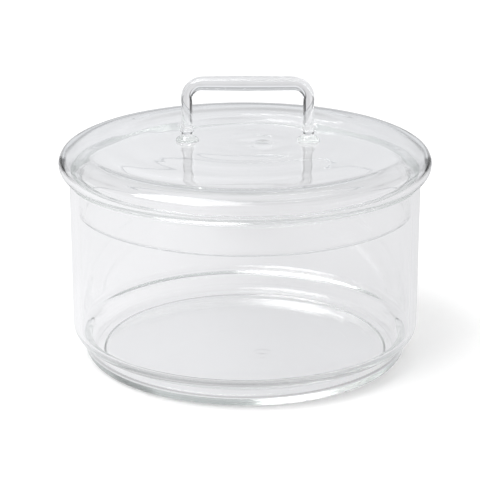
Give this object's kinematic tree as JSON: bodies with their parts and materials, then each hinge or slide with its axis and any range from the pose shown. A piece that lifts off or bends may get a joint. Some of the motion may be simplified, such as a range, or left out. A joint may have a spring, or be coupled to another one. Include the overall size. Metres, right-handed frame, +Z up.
{
  "type": "glass food jar with lid",
  "caption": "Low round clear glass food jar with a narrower stacking foot, and a loose plug-in glass lid with a bent rod handle.",
  "frame": {"origin": "middle of the ring that the jar stands on", "axes": "+Z up along the jar's axis, X along the handle's bar"},
  "size_m": [0.1694, 0.1694, 0.13],
  "materials": {
    "jar_glass": "clear, fire-polished",
    "lid_glass": "clear, fire-polished"
  },
  "bodies": {
    "root": {"jar": "jar_glass", "lid": "lid_glass"}
  },
  "joints": []
}
